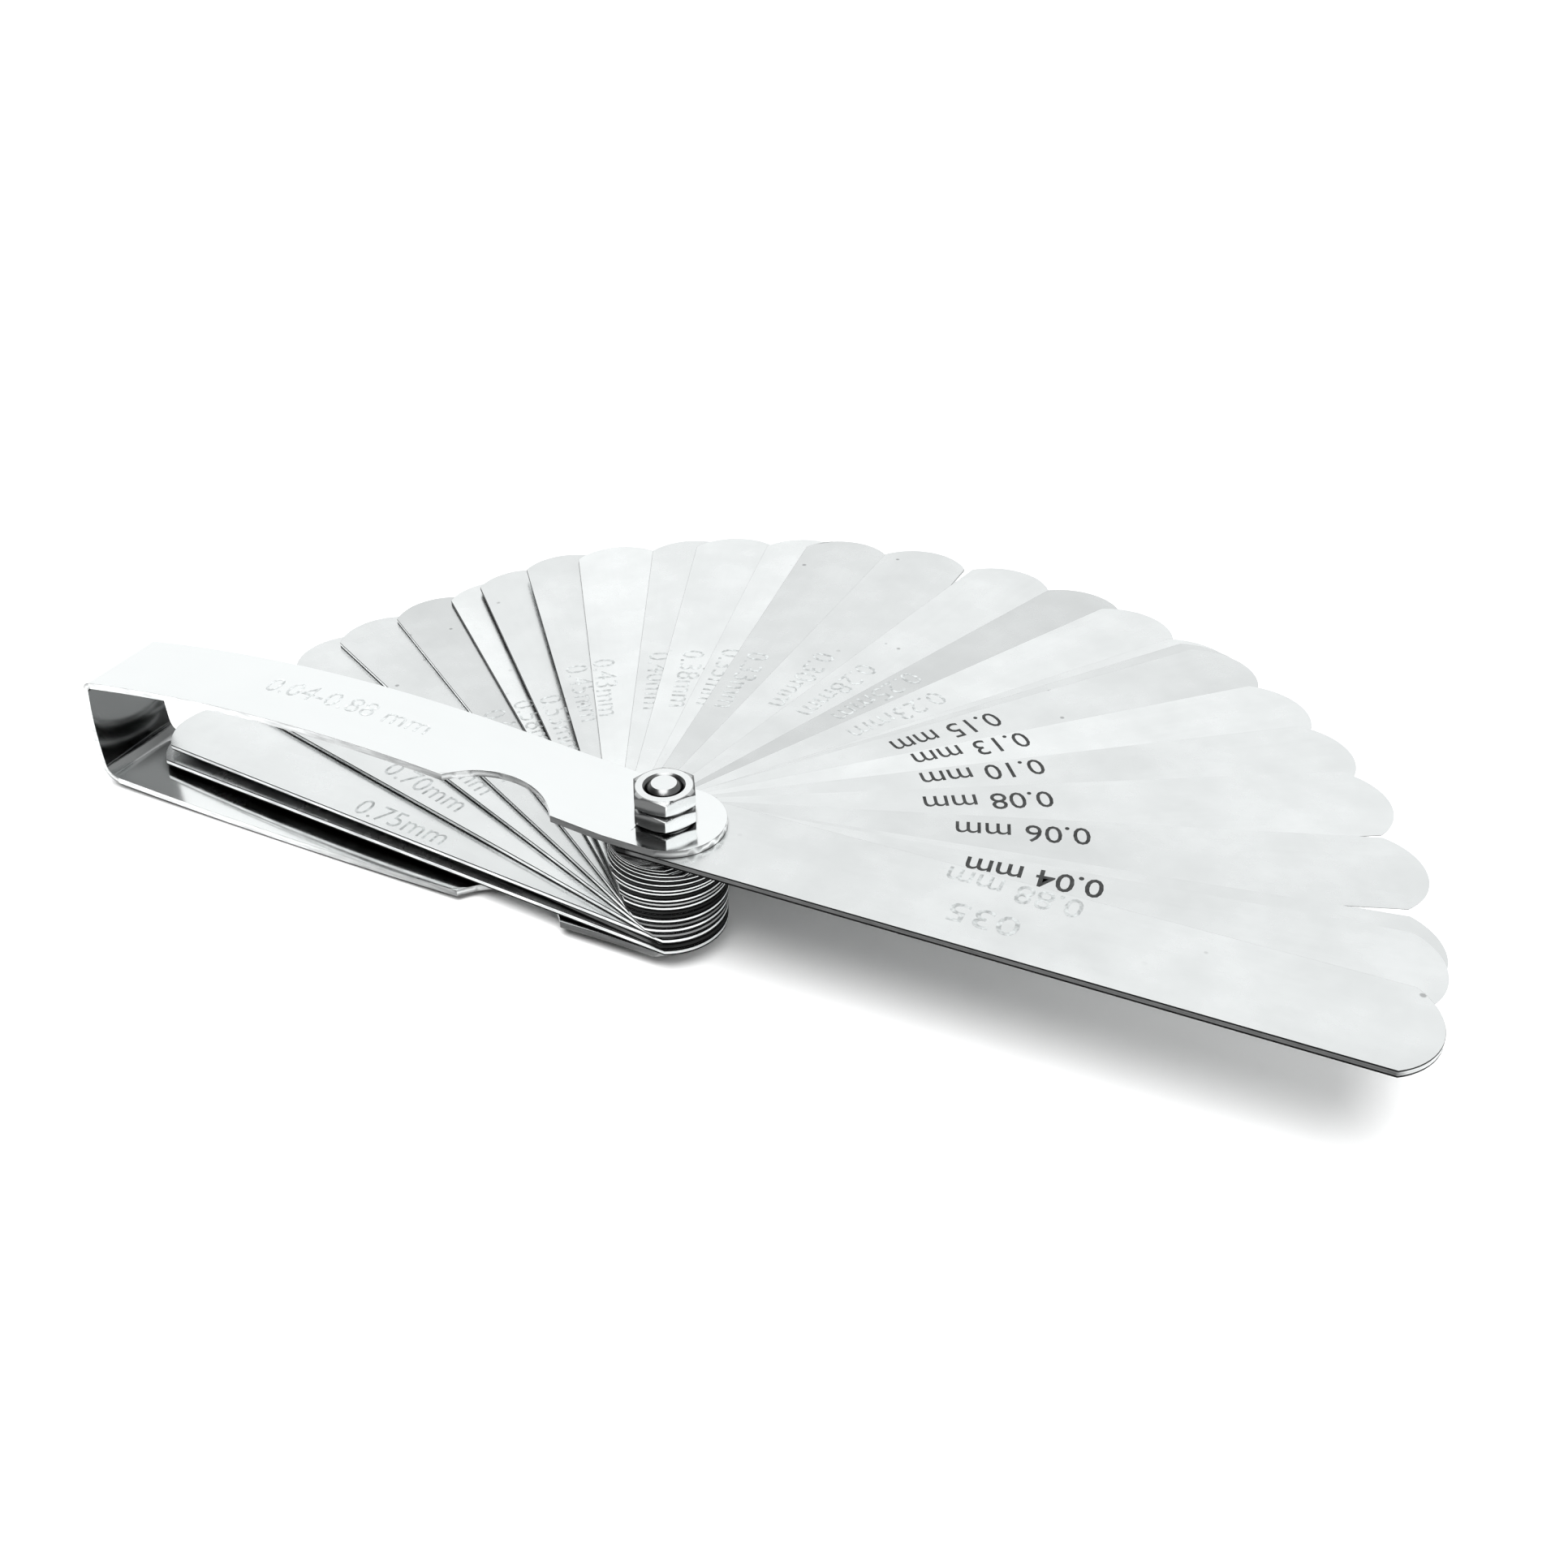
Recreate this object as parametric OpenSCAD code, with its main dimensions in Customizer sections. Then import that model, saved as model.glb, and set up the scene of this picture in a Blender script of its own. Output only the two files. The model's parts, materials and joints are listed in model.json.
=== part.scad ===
// Folding feeler gauge: thickness blades on one clamp bolt, in a holder bent from sheet.
// +Z is up. The bolt's axis is X = Y = 0 and the bolt head stands on Z = 0.
// The holder points to -X. A blade's fan angle is counted from +X, seen from above.

/* [Blades] */
// Thickness of each blade, from the top of the stack down
thickness = [
    0.88, 0.04, 0.05, 0.06, 0.08, 0.10, 0.13, 0.15,
    0.18, 0.20, 0.23, 0.25, 0.28, 0.30, 0.33, 0.35,
    0.38, 0.40, 0.43, 0.45, 0.48, 0.50, 0.53, 0.55,
    0.58, 0.60, 0.63, 0.65, 0.70, 0.75, 0.80, 0.85
]; // [0.04:0.01:1.00]
// Fan angle of each blade at rest, in the same order, in degrees
fan = [
    1, 8, 10, 20, 29.5, 37, 44.5, 52.5,
    54, 55.5, 64, 70.5, 79.5, 89.5, 98.5, 103,
    111, 116, 124.5, 130.5, 130, 129.5, 136, 135.5,
    139.5, 146, 153, 158.5, 166.5, 175.5, 173, 176.5
]; // [-180:0.5:180]
// Width of a blade
blade_w = 12.7; // [8:0.1:20]
// Bolt axis to the crown of a blade's tip
tip_reach = 83; // [50:0.5:150]
// Height of the arc across a blade's tip
tip_rise = 3.3; // [1:0.1:6]
// Bolt axis to the crown of a blade's heel
heel_reach = 6.8; // [5:0.1:10]
// Height of the arc across a blade's heel
heel_rise = 3.7; // [1:0.1:6]
// Air between one blade and the next
blade_gap = 0.027; // [0.010:0.001:0.100]

/* [Holder] */
// Thickness of the holder's sheet
sheet = 0.9; // [0.5:0.1:1.5]
// Width of the holder
holder_w = 12.7; // [8:0.1:20]
// Bolt axis to the outside of the top corner at the closed end
holder_len = 87.3; // [60:0.1:160]
// Bolt axis to the crown of the top leaf's round end
top_end_reach = 7.2; // [5:0.1:10]
// Height of the arc across the top leaf's round end
top_end_rise = 5.6; // [1:0.1:6.3]
// Bolt axis to the crown of the bottom leaf's round end
bottom_end_reach = 5.3; // [4:0.1:10]
// Height of the arc across the bottom leaf's round end
bottom_end_rise = 4.1; // [1:0.1:6.3]
// Flat length of each leaf under the nut, from the bolt axis
leaf_flat = 5; // [4:0.5:12]
// Slope of the top leaf past its flat, in degrees
top_slope = 5; // [0:0.5:10]
// Straight run of the top leaf before it curves down
top_run = 19; // [5:1:60]
// Turn of the top leaf from there to the closed end, in degrees
top_turn = 13.3; // [0:0.5:30]
// Slope of the bottom leaf past its flat, in degrees
bottom_slope = 2; // [0:0.5:10]
// Straight run of the bottom leaf before it curves up
bottom_run = 22; // [5:1:60]
// Turn of the bottom leaf from there to the closed end, in degrees
bottom_turn = 4.4; // [0:0.2:15]
// Bend radius at the top of the closed end, on the mid line
top_bend_r = 1.2; // [0.8:0.1:4]
// Bend radius at the bottom of the closed end, on the mid line
bottom_bend_r = 2.6; // [0.8:0.1:5]
// Half the turn of the closed end's bowed wall, in degrees
wall_turn = 7; // [0:0.5:20]
// Bolt axis to the middle of the thumb notch
notch_x = 19.4; // [12:0.1:40]
// Length of the thumb notch along the edge
notch_len = 15.2; // [8:0.1:20]
// Depth of the thumb notch
notch_depth = 4.1; // [2:0.1:5]

/* [Fasteners] */
// Diameter of the clamp bolt
bolt_d = 4; // [3:0.5:6]
// Diameter of the holes in the blades, the leaves and the nuts
bore_d = 4.16; // [3.1:0.02:6.2]
// Diameter of the bolt head
head_d = 8; // [6:0.1:10]
// Height of the bolt head
head_h = 1.6; // [1:0.1:3]
// Nut size across flats
nut_af = 7; // [5.5:0.5:10]
// Nut height
nut_h = 2.2; // [1.5:0.1:4]
// Height of the round washer face under a nut
nut_face_h = 0.25; // [0:0.05:0.5]
// Diameter of the countersink at each end of a nut's bore
nut_sink_d = 5; // [4.2:0.1:6]
// Bolt end above the upper nut
bolt_proud = 0.3; // [0:0.1:3]

/* [Hidden] */
$fn = 96;
eps = 0.01;
blades = len(thickness);
function sum_of(list, n) = n <= 0 ? 0 : list[n - 1] + sum_of(list, n - 1);
function blade_name(i) = str("blade_", thickness[i] < 0.095 ? "00" : "0", round(thickness[i] * 100));

// Levels of the stack, from the rest plane up
bottom_leaf_z = head_h;
stack_z = bottom_leaf_z + sheet;
stack_h = sum_of(thickness, blades) + (blades + 1) * blade_gap;
top_leaf_z = stack_z + stack_h;
nut_z = top_leaf_z + sheet;
bolt_top = nut_z + 2 * nut_h + bolt_proud;
// Underside of blade i, below the blades above it and a gap for each
function blade_z(i) = top_leaf_z - sum_of(thickness, i + 1) - (i + 1) * blade_gap;

// Radius of an arc from its chord and its rise
function arc_r(chord, rise) = (chord * chord / 4 + rise * rise) / (2 * rise);

// The holder's mid line, in a plane of s (distance from the bolt to the closed end) and z.
// Each leaf is flat under the nut, then slopes away and curves back to the closed end.
mid = sheet / 2;
leaf_steps = 36;
bend_steps = 12;
leaf_end = holder_len - top_bend_r;
function leaf_rise(s, slope, run, turn) =
    let (
        past = max(0, s - leaf_flat),
        curved = max(0, past - run),
        rate = tan(turn) / (leaf_end - leaf_flat - run)
    )
    past * tan(slope) - curved * curved * rate / 2;
function top_mid(s) = top_leaf_z + mid + leaf_rise(s, top_slope, top_run, top_turn);
function bottom_mid(s) = bottom_leaf_z + mid - leaf_rise(s, bottom_slope, bottom_run, bottom_turn);

// Points round a bend, from heading h0 down to heading h1, in degrees
function bend_centre(p, r, h0) = p + r * [sin(h0), -cos(h0)];
function bend(c, r, h0, h1) =
    [for (k = [0 : bend_steps]) let (h = h0 + (h1 - h0) * k / bend_steps) c + r * [-sin(h), cos(h)]];

// Closed end: a top bend, a bowed wall and a bottom bend that meets the bottom leaf
top_head = top_slope - top_turn;
bottom_head = -180 - bottom_slope + bottom_turn;
wall_head = -90 + wall_turn;
wall_tail = -90 - wall_turn;
top_c = bend_centre([leaf_end, top_mid(leaf_end)], top_bend_r, top_head);
wall_start = top_c + top_bend_r * [-sin(wall_head), cos(wall_head)];
bottom_c_s = wall_start[0] + bottom_bend_r * sin(wall_tail);
bottom_leaf_end = bottom_c_s - bottom_bend_r * sin(bottom_head);
bottom_c = [bottom_c_s, bottom_mid(bottom_leaf_end) - bottom_bend_r * cos(bottom_head)];
wall_end_z = bottom_c[1] + bottom_bend_r * cos(wall_tail);
wall_r = (wall_start[1] - wall_end_z) / (2 * sin(wall_turn));
wall_c = bend_centre(wall_start, wall_r, wall_head);
mid_line = concat(
    [for (k = [-1 : leaf_steps - 1])
        let (s = k < 0 ? -top_end_reach - 1 : leaf_end * k / leaf_steps) [s, top_mid(s)]],
    bend(top_c, top_bend_r, top_head, wall_head),
    [for (k = [1 : bend_steps - 1])
        let (h = wall_head - 2 * wall_turn * k / bend_steps) wall_c + wall_r * [-sin(h), cos(h)]],
    bend(bottom_c, bottom_bend_r, wall_tail, bottom_head),
    [for (k = [leaf_steps - 1 : -1 : -1])
        let (s = k < 0 ? -top_end_reach - 1 : bottom_leaf_end * k / leaf_steps) [s, bottom_mid(s)]]
);
// Mid-line point k moved sideways by d, square to the line through its neighbours
last = len(mid_line) - 1;
function beside(k, d) =
    let (
        way = mid_line[min(k + 1, last)] - mid_line[max(k - 1, 0)],
        unit = way / norm(way)
    )
    mid_line[k] + d * [-unit[1], unit[0]];

// Colours: polished sheet, plated fasteners, ground spring steel
holder_colour = [0.80, 0.81, 0.82];
nut_colour = [0.72, 0.73, 0.74];
blade_colour = [0.86, 0.87, 0.88];

// Plain strip along X, centred on Y
module strip(x0, x1, w) {
    translate([x0, -w / 2])
        square([x1 - x0, w]);
}

// Crown of an arc of the given rise across the +X end of a strip of width w
module crown(reach, rise, w) {
    r = arc_r(w, rise);
    intersection() {
        translate([reach - r, 0])
            circle(r);
        strip(reach - rise - eps, reach + eps, w);
    }
}

// Side view of the holder, bolt end to the right
module holder_profile() {
    mirror([1, 0])
        polygon(concat(
            [for (k = [0 : last]) beside(k, mid)],
            [for (k = [last : -1 : 0]) beside(k, -mid)]
        ));
}

// Top view of the holder: round at the bolt, with a thumb notch in the front edge
module holder_plan() {
    notch_r = arc_r(notch_len, notch_depth);
    difference() {
        union() {
            strip(-holder_len - 5, top_end_reach - top_end_rise, holder_w);
            crown(top_end_reach, top_end_rise, holder_w);
        }
        translate([-notch_x, notch_depth - notch_r - holder_w / 2])
            circle(notch_r);
        circle(d = bore_d);
    }
}

// What the bottom leaf's shorter round end leaves out
module bottom_end_cut() {
    difference() {
        strip(bottom_end_reach - bottom_end_rise, top_end_reach + 2, holder_w + 2);
        crown(bottom_end_reach, bottom_end_rise, holder_w);
    }
}

module holder() {
    color(holder_colour)
        difference() {
            intersection() {
                rotate([90, 0, 0])
                    linear_extrude(holder_w + 2, center = true)
                        holder_profile();
                linear_extrude(nut_z + 10)
                    holder_plan();
            }
            linear_extrude(stack_z + 1)
                bottom_end_cut();
        }
}

module pivot_bolt() {
    edge = 0.3;
    point = 0.5;
    color(nut_colour)
        union() {
            cylinder(edge, d1 = head_d - 2 * edge, d2 = head_d);
            translate([0, 0, edge])
                cylinder(head_h - edge, d = head_d);
            cylinder(bolt_top - point, d = bolt_d);
            translate([0, 0, bolt_top - point])
                cylinder(point, d1 = bolt_d, d2 = bolt_d - 2 * point);
        }
}

// Thin hex nut on a round washer face, with its corners turned off and its bore countersunk
module hex_nut() {
    corner_d = nut_af / cos(30);
    face_d = nut_af * 0.94;
    cut = 0.35;
    sink = (nut_sink_d - bore_d) / 2;
    difference() {
        union() {
            cylinder(nut_face_h + eps, d = face_d);
            intersection() {
                translate([0, 0, nut_face_h])
                    cylinder(nut_h - nut_face_h, d = corner_d, $fn = 6);
                union() {
                    translate([0, 0, nut_face_h])
                        cylinder(cut, d1 = face_d, d2 = corner_d + 0.2);
                    translate([0, 0, nut_face_h + cut])
                        cylinder(nut_h - nut_face_h - 2 * cut, d = corner_d + 0.2);
                    translate([0, 0, nut_h - cut])
                        cylinder(cut, d1 = corner_d + 0.2, d2 = face_d);
                }
            }
        }
        translate([0, 0, -eps])
            cylinder(nut_h + 2 * eps, d = bore_d);
        translate([0, 0, -eps])
            cylinder(sink + eps, d1 = nut_sink_d + 2 * eps, d2 = bore_d);
        translate([0, 0, nut_h - sink])
            cylinder(sink + eps, d1 = bore_d, d2 = nut_sink_d + 2 * eps);
    }
}

module clamp_nut() {
    color(nut_colour)
        translate([0, 0, nut_z])
            rotate(-1)
                hex_nut();
}

module lock_nut() {
    color(nut_colour)
        translate([0, 0, nut_z + nut_h])
            rotate(1)
                hex_nut();
}

// Blade i of the stack, swung out to its place in the fan
module blade(i) {
    color(blade_colour)
        rotate(fan[i])
            translate([0, 0, blade_z(i)])
                linear_extrude(thickness[i])
                    difference() {
                        union() {
                            strip(heel_rise - heel_reach, tip_reach - tip_rise, blade_w);
                            crown(tip_reach, tip_rise, blade_w);
                            mirror([1, 0])
                                crown(heel_reach, heel_rise, blade_w);
                        }
                        circle(d = bore_d);
                    }
}

holder();
pivot_bolt();
clamp_nut();
lock_nut();
for (i = [0 : blades - 1])
    blade(i);
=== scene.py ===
"""Looks of the folding feeler gauge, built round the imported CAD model. Metres, +Z up."""
import json
import math

import bmesh
import bpy
from mathutils import Matrix, Vector


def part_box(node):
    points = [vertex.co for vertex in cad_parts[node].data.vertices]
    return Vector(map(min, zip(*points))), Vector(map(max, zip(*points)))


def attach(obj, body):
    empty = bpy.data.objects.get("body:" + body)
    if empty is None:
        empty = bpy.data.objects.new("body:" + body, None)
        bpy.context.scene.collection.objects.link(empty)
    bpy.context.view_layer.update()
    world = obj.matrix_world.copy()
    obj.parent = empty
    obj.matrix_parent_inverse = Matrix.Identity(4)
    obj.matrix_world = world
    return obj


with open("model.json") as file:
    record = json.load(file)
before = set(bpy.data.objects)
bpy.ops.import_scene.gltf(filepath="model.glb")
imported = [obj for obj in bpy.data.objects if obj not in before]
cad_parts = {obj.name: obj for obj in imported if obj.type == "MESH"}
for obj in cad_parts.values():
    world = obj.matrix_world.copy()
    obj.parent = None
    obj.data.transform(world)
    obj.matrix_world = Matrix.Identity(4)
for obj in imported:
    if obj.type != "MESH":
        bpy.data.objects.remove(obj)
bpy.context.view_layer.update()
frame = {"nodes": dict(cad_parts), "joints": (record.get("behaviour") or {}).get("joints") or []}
MM = 0.001

# ---------------------------------------------------------------- the gauge, read from the frame
JOINTS = {j["child"]: j for j in frame["joints"]}
# The blades, from the top of the stack down
BLADES = sorted(JOINTS, key=lambda n: -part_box(n)[1][2])
# Each blade's fan angle at rest, in degrees from +X: at its hinge's lower limit the blade points to -180
FAN = {n: -180.0 - JOINTS[n]["range_deg"][0] for n in BLADES}


def thickness(name):
    """Blade thickness in millimetres, as its name says."""
    return int(name.split("_")[1]) / 100.0


# ---------------------------------------------------------------- settings
# Camera: place and lens in millimetres, turns in degrees, shift as a share of the frame
CAMERA_AT = (81.66, -137.15, 130.48)
PITCH, YAW, ROLL = 28.83, -31.16, -3.33
LENS, SENSOR = 38.7, 36.0
SHIFT = (0.0886, -0.102)

# Room: its brightness, how dim its low front is, and the direction in which it brightens
ROOM_LIGHT, DIM_FRONT = 1.0, 0.10
BRIGHT_SIDE = (0.30, 0.90, 0.30)
# Floor: half its size in metres, and its tone
FLOOR_HALF, FLOOR_TONE = 6.0, 0.70
# White metal and ink are a touch cool
TINT = (0.985, 1.0, 1.0)
INK_TINT = (0.97, 1.0, 1.0)

# Tone of each blade's ground face, in stack order from the top: the steel's own tone, varied per blade as a
# painted reflection of the brighter and darker light that slight tilts give
FACE_TONE_AND_SHEEN = dict(zip(BLADES, (
    0.80, 0.80, 0.79, 0.80, 0.84, 0.82, 0.88, 0.80, 0.75, 0.83, 0.83, 0.68, 0.82, 0.80, 0.76, 0.88,
    0.88, 0.84, 0.91, 0.82, 0.85, 0.85, 0.83, 0.83, 0.91, 0.73, 0.77, 0.85, 0.86, 0.86, 0.80, 0.83)))
# Tone of the bright band along each blade's straight cut edges, in the same order: a painted highlight where
# high, painted shade where low
EDGE_SHEEN = dict(zip(BLADES, (
    0.17, 0.4, 0.4, 0.4, 0.4, 0.4, 0.4, 0.5, 0.5, 0.6, 0.7, 0.7, 0.7, 0.8, 0.4, 0.8,
    0.3, 0.8, 0.8, 0.06, 0.06, 0.06, 0.2, 0.06, 0.2, 0.95, 0.95, 0.95, 0.95, 0.95, 0.16, 0.95)))
# Tone of the band round each blade's heel, in the same order: painted highlights on some blades, painted
# shade on others
HEEL_SHEEN = dict(zip(BLADES, (
    0.02, 0.02, 0.02, 0.3, 0.02, 0.7, 0.02, 0.9, 0.02, 0.9, 0.02, 0.9, 0.05, 0.95, 0.02, 0.95,
    0.05, 0.95, 0.9, 0.03, 0.95, 0.6, 0.95, 0.03, 0.03, 0.95, 0.3, 0.95, 0.4, 0.95, 0.03, 0.8)))
# Tones up a cut edge, as (share of the height, tone): torn metal deepened into painted shade, cut band with a
# groove as a painted highlight, upper arris in painted shade
EDGE_SHADE_BANDS = ((0.0, 0.02), (0.22, 0.02), (0.32, 1.0), (0.50, 1.0),
              (0.54, 0.55), (0.58, 1.0), (0.74, 1.0), (0.84, 0.05))
# Where an edge's tone changes to the heel's and to the tip's, in millimetres along the blade from the bolt
HEEL_FROM = (-2.0, -1.0)
TIP_FROM = (79.5, 80.5)
# The least tone of an edge round the tip, a painted highlight
TIP_SHEEN = 0.8

# Blades up to this thickness carry printed marks, the others etched ones
PRINT_UP_TO = 0.155
# Blades thicker than this have their edges broken
BREAK_FROM = 0.12
# Length of a whole mark and height of its letters, in millimetres, and a capital's share of the font size
MARK_LENGTH, LETTER = 15.0, 3.2
CAPITAL = 0.7
# Where each mark starts, in millimetres from the bolt and from the blade's middle line.
# It varies as hand stamping does. The key is the blade's thickness in hundredths of a millimetre
MARKS = {4: (49.1, 4.0), 5: (47.4, 2.6), 6: (48.1, 3.6), 8: (45.4, 3.4), 10: (46.7, 4.4), 13: (47.9, 4.6),
         15: (47.6, 3.8), 18: (47.0, 3.2), 20: (47.4, 3.2), 23: (46.3, 3.4), 25: (48.3, 4.2), 28: (47.2, 3.2),
         30: (48.1, 1.9), 33: (46.1, 3.5), 35: (47.0, 3.8), 38: (47.1, 2.9), 40: (47.4, 3.6), 43: (47.6, 4.7),
         45: (48.0, 3.7), 48: (47.2, 3.8), 50: (46.8, 3.9), 53: (43.9, 4.1), 55: (47.0, 3.8), 58: (46.2, 4.8),
         60: (47.1, 3.9), 63: (46.7, 3.7), 65: (47.3, 4.0), 70: (48.3, 3.5), 75: (46.5, 4.1), 80: (47.2, 1.0),
         85: (46.9, 1.0), 88: (47.5, 4.5)}
# The thickest blade's mark in inches: its words, length, start and side, in millimetres
INCH_MARK = ("035", 7.7, 42.5, -1.2)
# The range mark on the top leaf: its length and the place of its start, in millimetres
RANGE_LENGTH, RANGE_AT = 26.0, (-60.0, 0.8)
# Half the lettering's thickness, and its middle's height above a blade and above the leaf, in millimetres
LETTER_HALF = 0.004
OFF_BLADE, OFF_LEAF = 0.008, 0.012


# ---------------------------------------------------------------- node helpers
def node_tree(owner):
    owner.use_nodes = True
    owner.node_tree.nodes.clear()
    return owner.node_tree


def put(tree, node, socket, value):
    """Sets an input or links it: a node stands for its first output, and (node, output) for a named one."""
    target = node.inputs[int(socket)] if socket.isdigit() else node.inputs[socket]
    if isinstance(value, bpy.types.Node):
        value = (value, 0)
    if isinstance(value, tuple) and isinstance(value[0], bpy.types.Node):
        tree.links.new(value[0].outputs[value[1]], target)
    else:
        target.default_value = value


def add(tree, kind, **values):
    """A node with its settings and inputs given by name, or by number where names repeat."""
    node = tree.nodes.new(kind)
    for key, value in values.items():
        if key in ("operation", "data_type", "interpolation_type"):
            setattr(node, key, value)
        else:
            put(tree, node, key.replace("_", " "), value)
    return node


def surface(tree, shade):
    out = tree.nodes.new("ShaderNodeOutputMaterial")
    tree.links.new(shade.outputs[0], out.inputs[0])


def own(tree, kind, axis):
    """One axis of the piece's own place in metres ("Object") or of its own normal ("Normal")."""
    at = add(tree, "ShaderNodeTexCoord")
    return add(tree, "ShaderNodeSeparateXYZ", Vector=(at, kind)), axis


def local(tree, turn=0.0, stretch=(1.0, 1.0, 1.0), shift=0.0):
    """The piece's own coordinates in metres, turned about Z and stretched, so grain follows the piece."""
    at = add(tree, "ShaderNodeTexCoord")
    turned = add(tree, "ShaderNodeVectorRotate", Vector=(at, "Object"), Angle=math.radians(turn))
    return add(tree, "ShaderNodeMapping", Vector=turned, Scale=stretch, Location=(shift, shift, shift))


def noise(tree, vector, scale, detail=3.0, rough=0.5):
    return add(tree, "ShaderNodeTexNoise", Vector=vector, Scale=scale, Detail=detail, Roughness=rough)


def between(tree, value, low, high, to_low, to_high):
    """Maps a value from low..high to to_low..to_high, and holds it past both ends."""
    return add(tree, "ShaderNodeMapRange", Value=value,
               From_Min=low, From_Max=high, To_Min=to_low, To_Max=to_high)


def times(tree, a, b):
    return add(tree, "ShaderNodeMath", operation="MULTIPLY", **{"0": a, "1": b})


def lerp(tree, factor, low, high):
    return add(tree, "ShaderNodeMix", data_type="FLOAT", **{"0": factor, "2": low, "3": high})


def tinted(tree, tint, value):
    return add(tree, "ShaderNodeVectorMath", operation="SCALE", **{"0": tint, "Scale": value})


def facing(tree, axis):
    """How squarely the piece's own surface faces along an axis, 0 to 1."""
    return add(tree, "ShaderNodeMath", operation="ABSOLUTE", **{"0": own(tree, "Normal", axis)})


def openness(tree, reach):
    """Towards 1 in the open and towards 0 deep in a gap, looking as far as reach, in metres."""
    return add(tree, "ShaderNodeAmbientOcclusion", Distance=reach), "AO"


# ---------------------------------------------------------------- camera, floor and light
def camera():
    pitch, yaw, roll = (math.radians(a) for a in (PITCH, YAW, ROLL))
    ahead = Vector((math.cos(pitch) * math.sin(yaw), math.cos(pitch) * math.cos(yaw), -math.sin(pitch)))
    right = Vector((math.cos(yaw), -math.sin(yaw), 0.0))
    up = right.cross(ahead)
    x = right * math.cos(roll) + up * math.sin(roll)
    y = up * math.cos(roll) - right * math.sin(roll)
    data = bpy.data.cameras.new("camera")
    data.sensor_width = SENSOR
    data.lens = LENS
    data.shift_x, data.shift_y = SHIFT
    data.clip_start, data.clip_end = 0.01, 50.0
    cam = bpy.data.objects.new("camera", data)
    turn = Matrix((x, y, -ahead)).transposed().to_4x4()
    cam.matrix_world = Matrix.Translation(Vector(CAMERA_AT) * MM) @ turn
    bpy.context.scene.collection.objects.link(cam)
    bpy.context.scene.camera = cam


def floor():
    material = bpy.data.materials.new("floor")
    tree = node_tree(material)
    shade = add(tree, "ShaderNodeBsdfPrincipled")
    shade.inputs["Base Color"].default_value = (FLOOR_TONE, FLOOR_TONE, FLOOR_TONE, 1)
    shade.inputs["Roughness"].default_value = 0.7
    surface(tree, shade)

    bm = bmesh.new()
    bmesh.ops.create_grid(bm, x_segments=1, y_segments=1, size=FLOOR_HALF)
    mesh = bpy.data.meshes.new("floor")
    bm.to_mesh(mesh)
    bm.free()
    mesh.materials.append(material)
    obj = bpy.data.objects.new("floor", mesh)
    bpy.context.scene.collection.objects.link(obj)


def far_light(name, came_from, spread, strength, shines=True):
    """One broad soft light from far away, spread degrees wide, so the whole floor is lit evenly.

    A light that does not shine leaves the steel's reflections alone and only lightens the floor."""
    data = bpy.data.lights.new(name, "SUN")
    data.angle = math.radians(spread)
    data.energy = strength
    obj = bpy.data.objects.new(name, data)
    obj.rotation_euler = (-Vector(came_from)).to_track_quat("-Z", "Y").to_euler()
    obj.visible_glossy = shines
    bpy.context.scene.collection.objects.link(obj)


def light():
    """A white room with a dim low front, a broad light above the front and a low fill from the right."""
    world = bpy.data.worlds.new("studio")
    bpy.context.scene.world = world
    tree = node_tree(world)
    way = add(tree, "ShaderNodeTexCoord")
    side = add(tree, "ShaderNodeVectorMath", operation="DOT_PRODUCT",
               **{"0": (way, "Generated"), "1": BRIGHT_SIDE})
    ramp = add(tree, "ShaderNodeMapRange", interpolation_type="SMOOTHSTEP", Value=(side, "Value"),
               From_Min=-0.45, From_Max=0.05, To_Min=DIM_FRONT, To_Max=ROOM_LIGHT)
    back = add(tree, "ShaderNodeBackground", Color=(*TINT, 1), Strength=ramp)
    out = tree.nodes.new("ShaderNodeOutputWorld")
    tree.links.new(back.outputs[0], out.inputs[0])
    far_light("overhead", (0.06, -0.26, 0.85), 48.0, 5.0)
    far_light("fill", (0.97, -0.20, 0.24), 24.0, 1.8, shines=False)


# ---------------------------------------------------------------- materials
def holder_faces(tree):
    """1 on the bent sheet's faces, 0 on its cut edges: the two long sides and the round ends at the bolt."""
    side = between(tree, facing(tree, "Y"), 0.25, 0.55, 1.0, 0.0)
    end = between(tree, facing(tree, "Z"), 0.25, 0.55, 0.0, 1.0)
    at_bolt = between(tree, own(tree, "Object", "X"), -0.003, -0.001, 0.0, 1.0)
    return times(tree, side, lerp(tree, at_bolt, 1.0, end))


def holder_shade(tree):
    """Painted shade: darker on the inner wall of the closed end, and dark on the bottom leaf near blades."""
    wall = between(tree, own(tree, "Normal", "X"), 0.15, 0.5, 1.0, 0.22)
    near = between(tree, openness(tree, 0.006), 0.40, 0.80, 0.02, 1.0)
    low = between(tree, own(tree, "Object", "Z"), 0.005, 0.007, 1.0, 0.0)
    return times(tree, wall, lerp(tree, low, 1.0, near))


def holder_edges(tree):
    """Tone of the sheet's cut edges, painted: a bright painted highlight with painted shade along the arris
    above and below, and painted shade darker near the bolt.
    """
    flat = between(tree, facing(tree, "Z"), 0.02, 0.25, 1.0, 0.08)
    side = between(tree, own(tree, "Object", "X"), -0.060, -0.012, 0.90, 0.16)
    return times(tree, lerp(tree, facing(tree, "X"), side, 0.85), flat)


def nut_shade(tree):
    """Painted shade: two opposite sides of a nut, those facing along Y, and its chamfers are darkened."""
    side = between(tree, facing(tree, "Y"), 0.75, 0.95, 1.0, 0.13)
    slope = between(tree, facing(tree, "Z"), 0.12, 0.30, 1.0, 0.12)
    level = between(tree, facing(tree, "Z"), 0.90, 0.98, 0.0, 1.0)
    return times(tree, side, lerp(tree, level, slope, 1.0))


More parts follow.
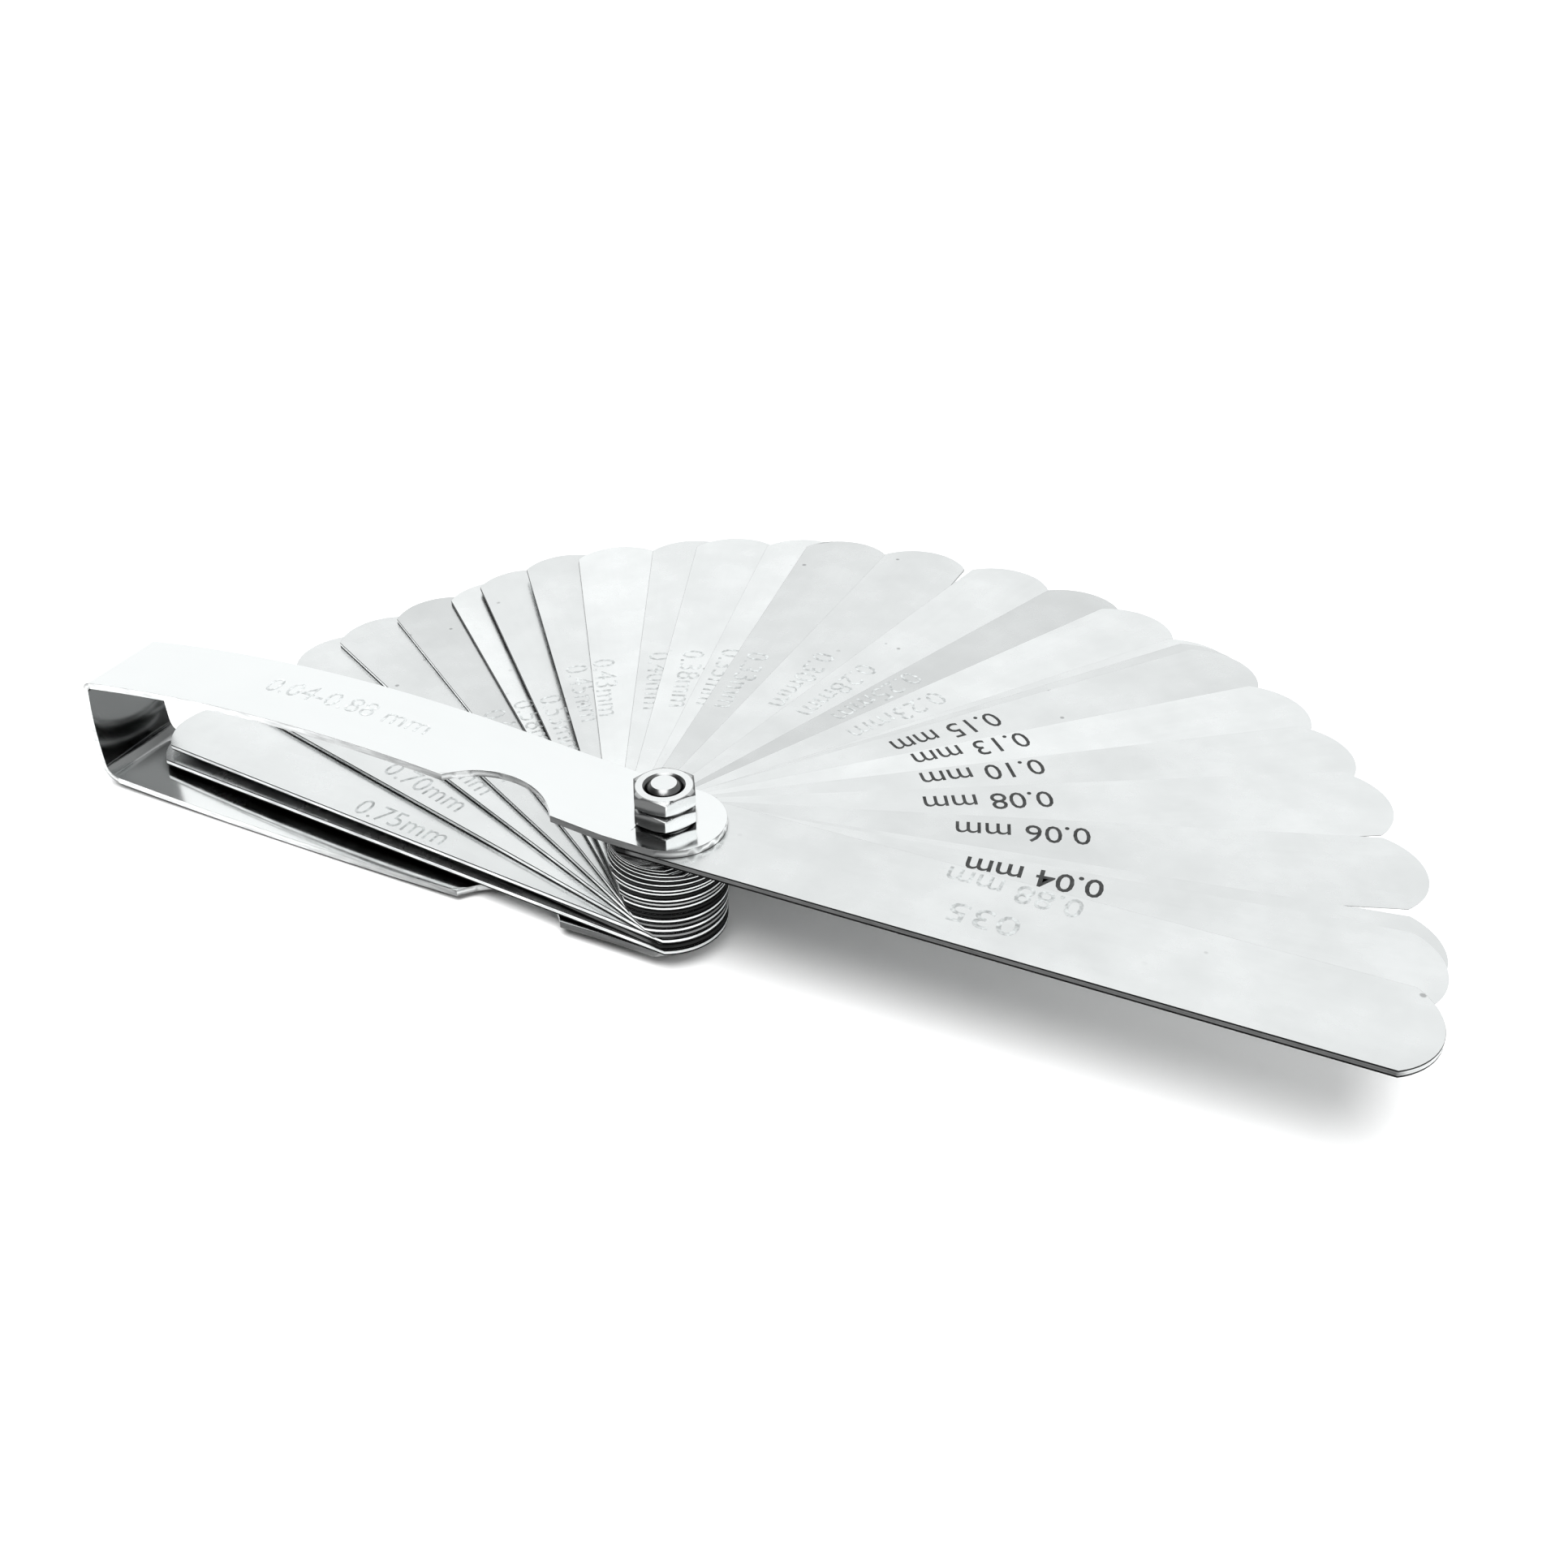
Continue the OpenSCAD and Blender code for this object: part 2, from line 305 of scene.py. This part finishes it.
def cut_edge(tree, name):
    """Tone up a blade's sheared edge, in painted light and shade: dark torn metal below, deepened into
    painted shade, a bright cut band that is a painted highlight, and painted shade along the arris on top.

    Round the heel only the top of the band shows, in its own tone: a painted highlight on some blades and
    painted shade on others."""
    low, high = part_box(name)[0][2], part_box(name)[1][2]
    height = between(tree, own(tree, "Object", "Z"), low, high, 0.0, 1.0)
    ramp = add(tree, "ShaderNodeValToRGB", Fac=height)
    bar = ramp.color_ramp
    while len(bar.elements) < len(EDGE_SHADE_BANDS):
        bar.elements.new(0.5)
    for element, (up, tone) in zip(bar.elements, EDGE_SHADE_BANDS):
        element.position = up
        element.color = (tone, tone, tone, 1)
    along = add(tree, "ShaderNodeSeparateXYZ", Vector=local(tree, -FAN[name])), "X"
    heel = between(tree, along, HEEL_FROM[0] * MM, HEEL_FROM[1] * MM, 1.0, 0.0)
    # Painted highlights and shade round the heel, per blade
    heel_tone = between(tree, height, 0.64, 0.72, HEEL_SHEEN[name], 0.02)
    # Painted highlight round the tip
    tip_tone = max(EDGE_SHEEN[name], TIP_SHEEN)
    tone = between(tree, along, TIP_FROM[0] * MM, TIP_FROM[1] * MM, EDGE_SHEEN[name], tip_tone)
    return times(tree, ramp, lerp(tree, heel, tone, heel_tone))


def blade_edge(name):
    """What tells a blade's level faces from its cut edges, and the tone of those edges."""
    return lambda tree: (between(tree, facing(tree, "Z"), 0.93, 0.985, 0.0, 1.0), cut_edge(tree, name))


def steel(name, tone, rough, turn=0.0, seed=0.0, smudge=0.03, specks=0.5, grain=0.02,
          edge=None, edge_rough=0.75, shade_gap=0.0, shade_scale=None):
    """Steel with grinding lines along its length, cloudy smudges and small specks.

    edge(tree) gives a node that is 1 on faces and 0 on cut edges, and a node with the tone of those edges.
    Its gap argument is how wide a gap between pieces may be, in metres, for painted shade to darken it.
    A further argument, a function of the tree, gives a node that scales the tone of the faces with painted
    shade."""
    material = bpy.data.materials.new(name)
    tree = node_tree(material)
    plain = local(tree, -turn, shift=seed)
    lines = noise(tree, local(tree, -turn, (30.0, 1500.0, 30.0), seed), 1.0, 4.0, 0.6)
    cloud = noise(tree, plain, 130.0, 4.0, 0.6)
    broad = noise(tree, plain, 28.0, 2.0, 0.5)
    dots = add(tree, "ShaderNodeTexVoronoi", Vector=plain, Scale=260.0, Randomness=1.0)
    dot = between(tree, (dots, "Distance"), 0.06, 0.10, 1.0, 0.0)
    few = between(tree, noise(tree, plain, 60.0, 0.0), 0.62, 0.68, 0.0, specks)
    spots = between(tree, times(tree, dot, few), 0.0, 1.0, 1.0, 0.45)

    value = between(tree, lines, 0.3, 0.7, tone * (1 - grain), tone * (1 + grain))
    value = times(tree, value, between(tree, cloud, 0.3, 0.75, 1 - smudge, 1 + smudge * 0.5))
    value = times(tree, value, between(tree, broad, 0.3, 0.7, 1 - smudge, 1 + smudge))
    value = times(tree, value, spots)
    gloss = between(tree, cloud, 0.3, 0.7, rough * 0.8, rough * 1.25)
    # Painted shade from the given node
    if shade_scale:
        value = times(tree, value, shade_scale(tree))
    # Painted shade deep in narrow gaps between pieces
    if shade_gap:
        value = times(tree, value, between(tree, openness(tree, shade_gap), 0.2, 0.65, 0.02, 1.0))
    if edge:
        face, edge_tone = edge(tree)
        streaks = noise(tree, local(tree, -turn, (300.0, 300.0, 2500.0), seed), 1.0, 3.0)
        edge_tone = times(tree, edge_tone, between(tree, streaks, 0.35, 0.65, 0.8, 1.1))
        value = lerp(tree, face, edge_tone, value)
        gloss = lerp(tree, face, edge_rough, gloss)
    shade = add(tree, "ShaderNodeBsdfPrincipled", Base_Color=tinted(tree, TINT, value), Roughness=gloss)
    shade.inputs["Metallic"].default_value = 1.0
    surface(tree, shade)
    return material


def ink(name, tone, metallic=0.0, rough=0.5, shine=0.5):
    """Print or etching, slightly uneven."""
    material = bpy.data.materials.new(name)
    tree = node_tree(material)
    patch = noise(tree, local(tree), 1500.0, 2.0)
    value = between(tree, patch, 0.35, 0.65, tone * 0.75, tone * 1.3)
    shade = add(tree, "ShaderNodeBsdfPrincipled", Base_Color=tinted(tree, INK_TINT, value))
    shade.inputs["Roughness"].default_value = rough
    shade.inputs["Specular IOR Level"].default_value = shine
    shade.inputs["Metallic"].default_value = metallic
    surface(tree, shade)
    return material


# ---------------------------------------------------------------- pieces
def dress(obj, material):
    for slot in obj.material_slots:
        slot.material = material


def crisp(obj, width, angle=35.0):
    """Breaks a CAD node's edges that turn by more than an angle, without touching its vertices."""
    weld = obj.modifiers.new("weld", "WELD")
    weld.merge_threshold = 1e-7
    bevel = obj.modifiers.new("bevel", "BEVEL")
    bevel.width = width
    bevel.segments = 2
    bevel.limit_method = "ANGLE"
    bevel.angle_limit = math.radians(angle)
    for p in obj.data.polygons:
        p.use_smooth = True
    flat = obj.modifiers.new("flat_faces", "WEIGHTED_NORMAL")
    flat.mode = "FACE_AREA"
    flat.weight = 100
    flat.keep_sharp = False


def letters(text, name, long, material, bold=0.0):
    """Flat lettering of a given length, starting at the origin, bold millimetres thicker all round."""
    data = bpy.data.curves.new(name + "_text", "FONT")
    data.body = text
    data.size = LETTER / CAPITAL * MM
    data.align_x, data.align_y = "LEFT", "CENTER"
    data.resolution_u = 3
    data.extrude = LETTER_HALF * MM
    data.offset = bold * MM
    lettering = bpy.data.objects.new(name + "_text", data)
    bpy.context.scene.collection.objects.link(lettering)
    bpy.context.view_layer.update()
    mesh = bpy.data.meshes.new_from_object(lettering.evaluated_get(bpy.context.evaluated_depsgraph_get()))
    bpy.data.objects.remove(lettering)
    mesh.name = name
    xs = [v.co.x for v in mesh.vertices]
    mesh.transform(Matrix.Diagonal((long * MM / (max(xs) - min(xs)), 1, 1, 1)))
    mesh.materials.clear()
    mesh.materials.append(material)
    return mesh


def mark(text, name, body, material, start, side, long=MARK_LENGTH, bold=0.0):
    """Lettering on a blade's upper face, read from the tip towards the bolt."""
    mesh = letters(text, name, long, material, bold)
    mesh.transform(Matrix.Rotation(math.radians(FAN[body]), 4, "Z")
                   @ Matrix.Translation((start * MM, side * MM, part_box(body)[1][2] + OFF_BLADE * MM))
                   @ Matrix.Rotation(math.pi, 4, "Z"))
    obj = bpy.data.objects.new(name, mesh)
    bpy.context.scene.collection.objects.link(obj)
    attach(obj, body)


def blades():
    thinnest, thickest = min(BLADES, key=thickness), max(BLADES, key=thickness)
    printed = ink("print_dark", 0.03, rough=0.9, shine=0.1)
    etched = ink("etch_mid", 0.58, 1.0)
    faint = ink("etch_faint", 0.64, 1.0, rough=0.3)
    for k, name in enumerate(BLADES):
        t = thickness(name)
        obj = frame["nodes"][name]
        # Painted reflections on each face, painted highlights and shade on the cut edges, painted shade in
        # gaps
        dress(obj, steel(name + "_steel", FACE_TONE_AND_SHEEN[name], 0.25, turn=FAN[name], seed=0.37 * k, smudge=0.05,
                         specks=0.8, grain=0.008, shade_gap=0.0012, edge=blade_edge(name)))
        if t > BREAK_FROM:
            crisp(obj, min(0.05, 0.2 * t) * MM)

        words = "%.2f mm" % t
        tag = "mark_%03d" % round(t * 100)
        start, side = MARKS[round(t * 100)]
        if t < PRINT_UP_TO:
            mark(words, tag, name, printed, start, side, bold=0.03 if name == thinnest else 0.0)
        elif name == thickest:
            mark(words, tag, name, faint, start, side)
            inches, long, start, side = INCH_MARK
            mark(inches, tag + "_inch", name, faint, start, side, long=long)
        else:
            mark(words.replace(" ", ""), tag, name, etched, start, side, bold=-0.03)


def range_mark(leaf):
    """A faint generic mark with the range of the blades, laid on the sloping top leaf."""
    sizes = [thickness(n) for n in BLADES]
    pale = ink("etch_pale", 0.80, 1.0, rough=0.3)
    mesh = letters("%.2f-%.2f mm" % (min(sizes), max(sizes)), "mark_range", RANGE_LENGTH, pale, -0.04)
    mesh.transform(Matrix.Translation((RANGE_AT[0] * MM, RANGE_AT[1] * MM, 0)))
    for v in mesh.vertices:
        on_leaf = leaf.ray_cast(Vector((v.co.x, v.co.y, 1.0)), Vector((0, 0, -1)))[1]
        v.co.z += on_leaf.z + OFF_LEAF * MM
    obj = bpy.data.objects.new("mark_range", mesh)
    bpy.context.scene.collection.objects.link(obj)
    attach(obj, "holder")


def holder():
    obj = frame["nodes"]["holder"]
    # Painted shade inside the closed end, along the cut edges and in gaps
    dress(obj, steel("holder_polished", 0.97, 0.12, smudge=0.01, specks=0.3, grain=0.004, shade_gap=0.001,
                     shade_scale=holder_shade, edge=lambda tree: (holder_faces(tree), holder_edges(tree))))
    crisp(obj, 0.10 * MM, angle=30.0)
    range_mark(obj)


def fasteners():
    # Painted shade on two nut sides, the chamfers and in gaps
    plated = steel("fastener_plated", 0.90, 0.24, smudge=0.02, specks=0.3, grain=0.01,
                   shade_gap=0.0008, shade_scale=nut_shade)
    for name in ("pivot_bolt", "clamp_nut", "lock_nut"):
        obj = frame["nodes"][name]
        dress(obj, plated)
        crisp(obj, 0.04 * MM, angle=20.0)


bpy.context.scene.view_settings.view_transform = "Standard"
camera()
floor()
light()
blades()
holder()
fasteners()
